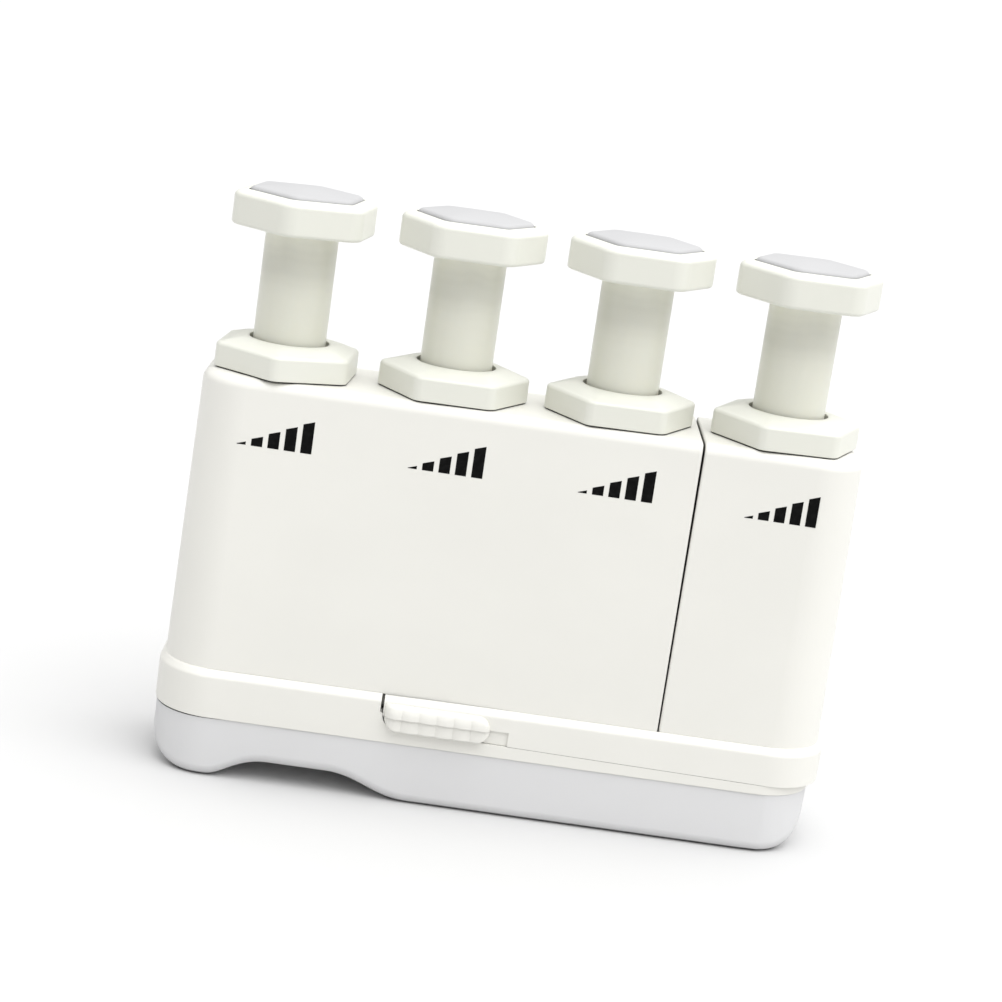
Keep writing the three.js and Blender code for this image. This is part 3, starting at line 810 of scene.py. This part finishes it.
# The print doesn't sit quite alike on each finger: how far it lies to the right, how far it lies
# lower, and its size.
MARK_SHIFT = {1: -0.03, 2: 0.08, 3: 0.1, 4: -0.41}
MARK_DROP = {1: 0.0, 2: 0.02, 3: 0.05, 4: 0.25}
MARK_SIZE = {1: 1.0, 2: 1.0, 3: 1.0, 4: 0.965}


def level_marks(finger):
    """Five printed bars that grow to the right, on the drafted front face. Each top slopes a little
    less than the row does."""
    middle = finger_x(finger) + MARK_SHIFT[finger]
    tip, width, pitch, last = (c * MARK_SIZE[finger] for c in (-4.25, 1.45, 2.12, 3.88))
    count, tip_room = 5, 0.05
    level, sinks, least, growth, slant = 44.8, 0.006, 0.016, 0.449, 0.324
    thick, root = 0.02, -0.1
    bars = [
        (max(last - pitch * k, tip - tip_room), last - pitch * k + width) for k in range(count)
    ]

    def foot(x):
        return level - MARK_DROP[finger] - sinks * (x - tip)

    points, faces = [], []
    for start, end in bars:
        a = len(points)
        mid = (start + end) / 2
        brow = foot(mid) + least + growth * (mid - tip)
        rise = slant * (end - mid)
        corners = (
            (start, foot(start)), (end, foot(end)), (end, brow + rise), (start, brow - rise),
        )
        for proud in (thick, root):
            for x, z in corners:
                points.append((middle + x, -(HOUSING_HALF - (z - BAND_TOP) * DRAFT) - proud, z))
        faces += [
            (a, a + 1, a + 2, a + 3), (a + 7, a + 6, a + 5, a + 4), (a, a + 4, a + 5, a + 1),
            (a + 1, a + 5, a + 6, a + 2), (a + 2, a + 6, a + 7, a + 3), (a + 3, a + 7, a + 4, a),
        ]
    marks = put(f"level_marks_{finger}", (points, faces), INK)
    finish(marks, FINGER_BODY[finger], None)


# ---------------------------------------------------------------- finger parts


def finger_cap(finger):
    """Hexagonal cap with a rounded rim, and a sunk seat for the pad."""
    turn = CAP_TURN[finger]
    foot, top = cap_low[2], cap_high[2]
    foot_round, shoulder = 0.5, 0.95
    seat_in, seat_edge, seat_depth = 0.03, 0.06, 1.4
    profile = [(inset, foot + rise) for inset, rise in fillet(foot_round, foot_round, 5, out=False)]
    profile += [(inset, top - shoulder + rise) for inset, rise in fillet(CAP_LIP, shoulder, 12)]
    profile += [(CAP_LIP + seat_in, top - seat_edge), (CAP_LIP + seat_in, top - seat_depth)]
    rings = [hex_ring(CAP_SIDE, CAP_VERTEX, inset, z, turn) for inset, z in profile]
    cap = put(f"cap_{finger}", moved(loft(rings), finger_x(finger)), CAPS)
    finish(cap, f"plunger_{finger}", "white_shell", f"finger_cap_{finger}", angle=45)


def finger_pad(finger):
    """Soft pad: a rounded edge, then a low crown that loses the hexagon towards its middle."""
    turn = CAP_TURN[finger]
    seat, top = pad_low[2], pad_high[2]
    rim, edge, edge_rise = cap_high[2] - 0.12, 0.75, 0.62
    rim_band, middle_r = 0.1, 0.25
    reach = PAD_SIDE * COS30
    rings = [hex_ring(PAD_SIDE, PAD_VERTEX, 0.0, z, turn) for z in (seat, rim - rim_band)]
    rings += [
        hex_ring(PAD_SIDE, PAD_VERTEX, inset, rim + rise, turn)
        for inset, rise in fillet(edge, edge_rise, 7)
    ]
    brow, crest = rings[-1], rim + edge_rise
    steps = 10
    for k in range(1, steps + 1):
        share = k / steps
        away = 1 - share
        z = crest + (top - crest) * math.sin(share * math.pi / 2)
        disc = round_like(brow, (reach - edge) * away + middle_r * share, z)
        rings.append([
            tuple(a[i] * away ** 3 + b[i] * (1 - away ** 2) for i in (0, 1)) + (z,)
            for a, b in zip(brow, disc)
        ])
    pad = put(f"pad_{finger}", moved(loft(rings), finger_x(finger)), PADS)
    finish(pad, f"plunger_{finger}", "grey_soft", f"finger_pad_{finger}", angle=60)


def finger_stem(finger):
    """Hollow plunger tube with a retaining flange inside the dial, and a spigot up into the cap."""
    bore, roof = 3.6, spring_high[2] + 0.3
    flange, flange_top, bevel = 5.75, 50.2, 0.2
    foot, shoulder = stem_low[2], cap_low[2] - 0.02
    spigot = 3.2
    stem = put(f"stem_{finger}", moved(turned([
        (bore, roof), (bore, foot), (flange - bevel, foot), (flange, foot + bevel),
        (flange, flange_top - bevel), (flange - bevel, flange_top), (STEM_R, flange_top),
        (STEM_R, shoulder), (spigot, shoulder), (spigot, stem_high[2]),
    ]), finger_x(finger)), STEM)
    finish(stem, f"plunger_{finger}", "milky_stem", f"finger_stem_{finger}")


def tension_dial(finger):
    """Hexagonal collar with a low domed top. Its sleeve goes down inside the housing, wider inside
    for the stem's flange, with a groove outside for the clip."""
    turn = DIAL_TURN[finger]
    foot, top = COLLAR_FOOT, dial_high[2]
    face_top, edge, edge_rise, foot_round = 56.15, 0.7, 0.56, 0.15
    mouth, mouth_edge = 5.2, 0.22
    guide_r, chamber_r, chamber_top = 5.05, 6.05, 50.5
    groove_r, groove_foot, groove_top = 6.5, 49.6, 51.1
    flat = hex_ring(DIAL_SIDE, DIAL_VERTEX, 0.0, foot, turn)
    rings = [round_like(flat, SLEEVE_R, foot)]
    rings += [
        hex_ring(DIAL_SIDE, DIAL_VERTEX, inset, foot + rise, turn)
        for inset, rise in fillet(foot_round, foot_round, 3, out=False)
    ]
    rings += [
        hex_ring(DIAL_SIDE, DIAL_VERTEX, inset, face_top + rise, turn)
        for inset, rise in fillet(edge, edge_rise, 6)
    ]
    steps = 7
    outer, crest = rings[-1], face_top + edge_rise
    inner = round_like(flat, mouth + mouth_edge, top)
    for k in range(1, steps + 1):
        share = k / steps
        z = crest + (top - crest) * math.sin(share * math.pi / 2)
        rings.append([
            (a[0] + (b[0] - a[0]) * share, a[1] + (b[1] - a[1]) * share, z)
            for a, b in zip(outer, inner)
        ])
    inside = (
        (mouth + 0.06, top - 0.08), (mouth, top - 0.24), (mouth, top - 1.6), (guide_r, top - 2.2),
        (guide_r, chamber_top), (chamber_r, chamber_top), (chamber_r, dial_low[2]),
    )
    outside = (
        (SLEEVE_R, dial_low[2]), (SLEEVE_R, groove_foot), (groove_r, groove_foot),
        (groove_r, groove_top), (SLEEVE_R, groove_top),
    )
    rings += [round_like(flat, radius, z) for radius, z in inside + outside]
    dial = put(f"dial_{finger}", moved(loft(rings, closed=True), finger_x(finger)), CAPS)
    finish(dial, f"dial_{finger}", "white_shell", f"tension_dial_{finger}", angle=40)


def finger_spring(finger):
    """A compression spring whose end coils lie closed, in two halves that meet halfway up. Both halves
    ride on the body of the finger."""
    wire, coil = 0.4, 2.75              # radii of the wire and of the coil
    foot, top = spring_low[2] + wire, spring_high[2] - wire
    turns, dead = 14, 1.25
    per_turn, sides = 28, 10
    rise_dead = dead * 2 * wire
    live = turns - 2 * dead
    rings = []
    for k in range(turns * per_turn + 1):
        at = k / per_turn
        if at < dead:
            z = foot + at * 2 * wire
        elif at > turns - dead:
            z = top - (turns - at) * 2 * wire
        else:
            z = foot + rise_dead + (at - dead) / live * (top - foot - 2 * rise_dead)
        angle = 2 * math.pi * at
        out = Vector((math.cos(angle), math.sin(angle), 0))
        rings.append([
            tuple(out * (coil + wire * math.cos(s)) + Vector((0, 0, z + wire * math.sin(s))))
            for s in (2 * math.pi * i / sides for i in range(sides))
        ])
    x = finger_x(finger)
    half, waist = len(rings) // 2, (foot + top) / 2
    for end, coils, joint, travel in (
        ("lower", rings[:half + 1], "seat_lift", SEAT_TRAVEL),
        ("upper", rings[half:], "finger_press", PRESS_TRAVEL),
    ):
        spring = put(f"spring_{end}_{finger}", moved(loft(coils), x), STEEL)
        finish(spring, FINGER_BODY[finger], "spring_steel", f"finger_spring_{finger}", angle=60)
        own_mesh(spring)


# ---------------------------------------------------------------- making

palm_rest()
base_chassis()
sliding_tray()
lock_slider()
main_housing()
end_housing()
for finger in FINGERS:
    finger_cap(finger)
    finger_pad(finger)
    finger_stem(finger)
    tension_dial(finger)
    finger_spring(finger)
    level_marks(finger)

# CAD parts that keep their shape get their finished material.
KEPT = {
    "housing_screw": STEEL, "tray_screw": STEEL, "dial_clip": STEEL,
    "spring_seat": ACETAL, "lock_shoe": RUBBER,
}
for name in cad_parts:
    for start, look in KEPT.items():
        if name.startswith(start):
            for slot in bpy.data.objects[name].material_slots:
                slot.material = look

# ---------------------------------------------------------------- floor, light and camera


def floor():
    """A plain light floor with very faint, broad clouds."""
    tone, uneven, patch, reach = 0.58, 0.005, 240, 6000
    look, shader = material("floor_white", (tone,) * 3, 0.6, Specular_IOR_Level=0.2)
    look.node_tree.links.new(ramp(look, noise(look, patch), [
        (0.3, (tone - uneven,) * 3), (0.7, (tone + uneven,) * 3),
    ]), shader.inputs["Base Color"])
    ground = put("floor", ([
        (-reach, -reach, 0), (reach, -reach, 0), (reach, reach, 0), (-reach, reach, 0),
    ], [(0, 1, 2, 3)]), look)


def sun(name, way, strength, spread_angle):
    """Light that falls evenly along a direction, from a disc as wide as the angle in degrees."""
    light = bpy.data.lights.new(name, "SUN")
    light.energy = strength
    light.angle = math.radians(spread_angle)
    obj = bpy.data.objects.new(name, light)
    obj.rotation_euler = (-Vector(way)).to_track_quat("Z", "Y").to_euler()
    bpy.context.scene.collection.objects.link(obj)


def surroundings(level, overhead, left, seen):
    """White light from all round that grows stronger overhead and weaker to the left. The empty
    space behind the floor looks as white as the floor."""
    world = bpy.data.worlds.new("studio")
    world.use_nodes = True
    nodes, links = world.node_tree.nodes, world.node_tree.links
    back = nodes["Background"]
    back.inputs["Color"].default_value = (1, 1, 1, 1)
    place = nodes.new("ShaderNodeTexCoord")
    split = nodes.new("ShaderNodeSeparateXYZ")
    links.new(place.outputs["Generated"], split.inputs["Vector"])
    rise = nodes.new("ShaderNodeMapRange")
    rise.inputs["To Min"].default_value = level
    rise.inputs["To Max"].default_value = overhead
    links.new(split.outputs["Z"], rise.inputs["Value"])
    side = nodes.new("ShaderNodeMapRange")
    side.inputs["From Min"].default_value = -1
    side.inputs["To Min"].default_value = left
    links.new(split.outputs["X"], side.inputs["Value"])
    lean = nodes.new("ShaderNodeMath")
    lean.operation = "MULTIPLY"
    links.new(rise.outputs["Result"], lean.inputs[0])
    links.new(side.outputs["Result"], lean.inputs[1])
    path = nodes.new("ShaderNodeLightPath")
    choose = nodes.new("ShaderNodeMapRange")
    choose.inputs["To Max"].default_value = seen
    links.new(path.outputs["Is Camera Ray"], choose.inputs["Value"])
    links.new(lean.outputs["Value"], choose.inputs["To Min"])
    links.new(choose.outputs["Result"], back.inputs["Strength"])
    bpy.context.scene.world = world


def camera(place, aim, roll, lens):
    """A camera whose right side is tilted up by roll, so that the object looks turned clockwise.
    Place and aim are in millimetres, and roll in degrees."""
    roll = math.radians(roll)
    forward = (Vector(aim) - Vector(place)).normalized()
    level = forward.cross(Vector((0, 0, 1))).normalized()
    upright = level.cross(forward)
    right = level * math.cos(roll) + upright * math.sin(roll)
    up = upright * math.cos(roll) - level * math.sin(roll)
    data = bpy.data.cameras.new("camera")
    data.lens = lens
    data.sensor_width = 36
    data.clip_start = 0.01
    obj = bpy.data.objects.new("camera", data)
    basis = Matrix((right, up, -forward)).transposed().to_4x4()
    basis.translation = Vector(place) * MM
    obj.matrix_world = basis
    bpy.context.scene.collection.objects.link(obj)
    bpy.context.scene.camera = obj


floor()
surroundings(level=0.25, overhead=2.6, left=0.58, seen=1.1)
sun("key", way=(-0.36, 0.27, -0.89), strength=1.5, spread_angle=60)
camera(place=(-8.89, -322.37, 115.60), aim=(-2.59, 0, 39.89), roll=8.34, lens=89.8)
bpy.context.scene.view_settings.view_transform = "Standard"
